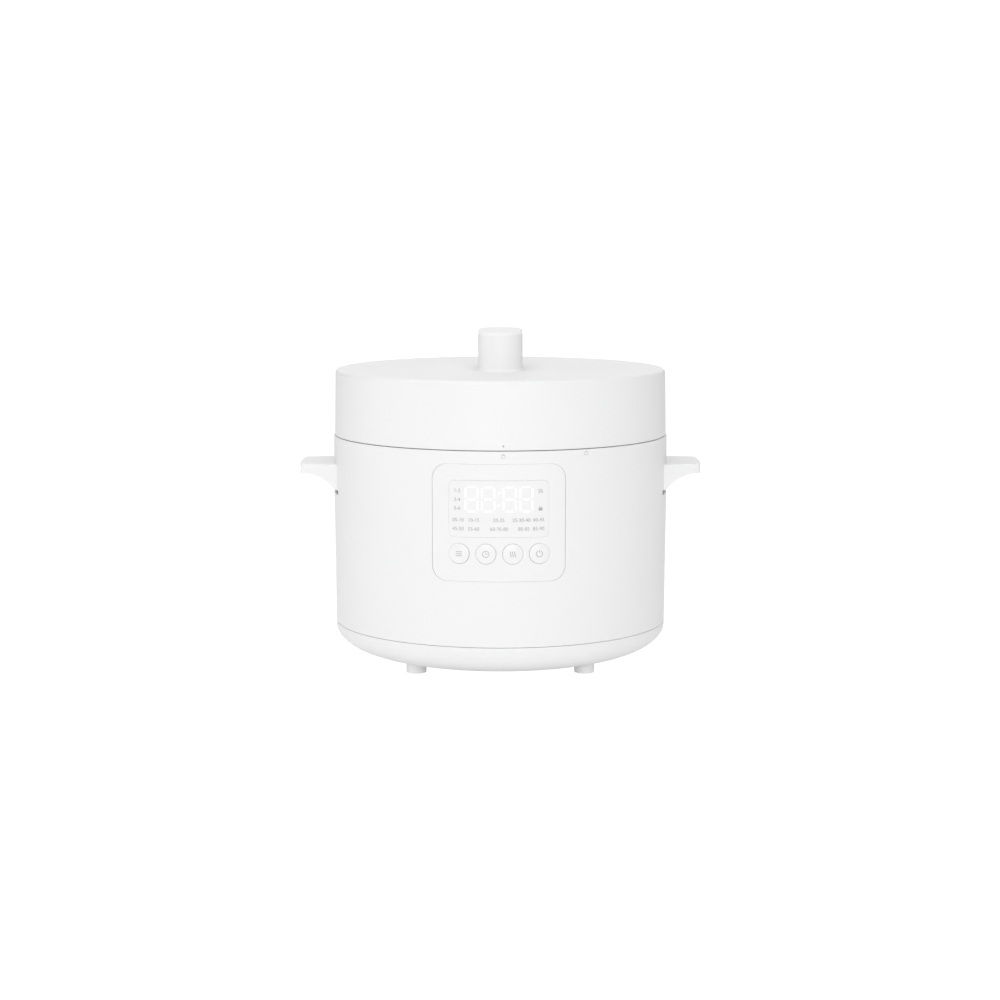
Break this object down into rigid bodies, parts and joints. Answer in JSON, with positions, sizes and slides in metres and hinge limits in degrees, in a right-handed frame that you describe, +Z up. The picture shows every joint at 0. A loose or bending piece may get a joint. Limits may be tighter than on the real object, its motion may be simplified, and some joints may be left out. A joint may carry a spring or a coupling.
{
  "type": "electric pressure cooker",
  "caption": "Round electric pressure cooker with a twist-lock lid, bar grip on top, side handles, front display panel with round keys, and a lift-out inner pot.",
  "frame": {"origin": "on the floor under the middle of the round body", "axes": "+Z up; the control panel faces -Y, the mains inlet faces +Y, and the side handles lie along X"},
  "size_m": [0.333, 0.2774, 0.275],
  "materials": {
    "body_white": "satin gloss",
    "window_white": "gloss",
    "key_white": "satin gloss",
    "foot_rubber": "matte",
    "grey_plastic": "fine texture",
    "well_steel": "brushed",
    "pot_steel": "spun",
    "lid_steel": "brushed",
    "liner_aluminium": "satin",
    "turned_steel": "turned",
    "float_red": "satin",
    "cast_aluminium": "cast and turned",
    "spring_steel": "drawn",
    "element_steel": "heat-tinted",
    "bush_ceramic": "matte",
    "screw_zinc": "zinc plated",
    "fuse_sleeve": "matte",
    "switch_black": "matte",
    "circuit_board": "solder mask",
    "relay_blue": "satin",
    "transformer_yellow": "taped",
    "capacitor_can": "sleeved",
    "display_black": "matte",
    "socket_black": "fine texture",
    "pin_brass": "plated",
    "lead_brown": "satin",
    "lead_white": "satin",
    "lead_grey": "satin",
    "silicone": "satin, slightly translucent",
    "valve_white": "satin gloss"
  },
  "bodies": {
    "housing": {"body_shell": "body_white", "base_cover": "body_white", "side_handle_left": "body_white", "side_handle_right": "body_white", "control_panel": "body_white", "display_window": "window_white", "foot_front_left": "foot_rubber", "foot_front_right": "foot_rubber", "foot_rear_left": "foot_rubber", "foot_rear_right": "foot_rubber", "top_collar": "grey_plastic", "board_carrier": "grey_plastic", "well": "well_steel", "heating_plate": "cast_aluminium", "sensor_cup": "well_steel", "sensor_spring": "spring_steel", "heating_element": "element_steel", "terminal_bushes": "bush_ceramic", "plate_posts": "turned_steel", "plate_screws": "screw_zinc", "base_screws": "screw_zinc", "board_screws": "screw_zinc", "panel_screws": "screw_zinc", "side_handle_screws": "screw_zinc", "thermal_fuse": "fuse_sleeve", "pressure_switch": "switch_black", "power_board": "circuit_board", "control_board": "circuit_board", "relay": "relay_blue", "transformer": "transformer_yellow", "capacitors": "capacitor_can", "led_display": "display_black", "key_switches": "switch_black", "inlet_socket": "socket_black", "inlet_pins": "pin_brass", "mains_leads": "lead_brown", "heater_leads": "lead_white", "sensor_lead": "lead_white", "control_lead": "lead_grey"},
    "sensor_probe": {"sensor_probe": "cast_aluminium"},
    "menu_button": {"menu_button": "key_white"},
    "time_button": {"time_button": "key_white"},
    "keep_warm_button": {"keep_warm_button": "key_white"},
    "start_button": {"start_button": "key_white"},
    "inner_pot": {"inner_pot": "pot_steel"},
    "liner": {"liner_plate": "liner_aluminium", "sealing_ring": "silicone", "liner_grommet": "silicone"},
    "lid": {"lid_cover": "body_white", "pressure_lid": "lid_steel", "lid_screws": "screw_zinc", "centre_stud": "turned_steel", "lid_handle": "body_white", "lid_handle_screws": "screw_zinc", "steam_pipe": "turned_steel", "pipe_nut": "turned_steel"},
    "release_valve": {"release_valve": "valve_white"},
    "float_pin": {"float_pin": "float_red", "float_seal": "silicone"}
  },
  "joints": [
    {"name": "lid_lift", "type": "slide", "parent": "housing", "child": "liner", "axis": [0, 0, 1], "range_m": [0, 0.35]},
    {"name": "pot_lift", "type": "slide", "parent": "housing", "child": "inner_pot", "axis": [0, 0, 1], "range_m": [0, 0.18]},
    {"name": "lid_turn", "type": "hinge", "parent": "liner", "child": "lid", "pos_m": [0, 0, 0.205], "axis": [0, 0, 1], "range_deg": [0, 30]},
    {"name": "valve_turn", "type": "hinge", "parent": "lid", "child": "release_valve", "pos_m": [0, 0.068, 0.24], "axis": [0, 0, 1], "range_deg": [0, 40]},
    {"name": "float_rise", "type": "slide", "parent": "lid", "child": "float_pin", "axis": [0, 0, 1], "range_m": [0, 0.004]},
    {"name": "menu_press", "type": "slide", "parent": "housing", "child": "menu_button", "axis": [0, 1, 0], "range_m": [0, 0.0008], "stiffness_N_per_m": 300, "springref_m": -0.0006},
    {"name": "time_press", "type": "slide", "parent": "housing", "child": "time_button", "axis": [0, 1, 0], "range_m": [0, 0.0008], "stiffness_N_per_m": 300, "springref_m": -0.0006},
    {"name": "keep_warm_press", "type": "slide", "parent": "housing", "child": "keep_warm_button", "axis": [0, 1, 0], "range_m": [0, 0.0008], "stiffness_N_per_m": 300, "springref_m": -0.0006},
    {"name": "start_press", "type": "slide", "parent": "housing", "child": "start_button", "axis": [0, 1, 0], "range_m": [0, 0.0008], "stiffness_N_per_m": 300, "springref_m": -0.0006},
    {"name": "probe_press", "type": "slide", "parent": "housing", "child": "sensor_probe", "axis": [0, 0, 1], "range_m": [-0.003, 0], "stiffness_N_per_m": 400, "springref_m": 0.002, "deforming": ["sensor_spring"]}
  ],
  "couplings": [
    {"joint": "pot_lift", "follows": "lid_lift", "ratio": 0.5}
  ]
}
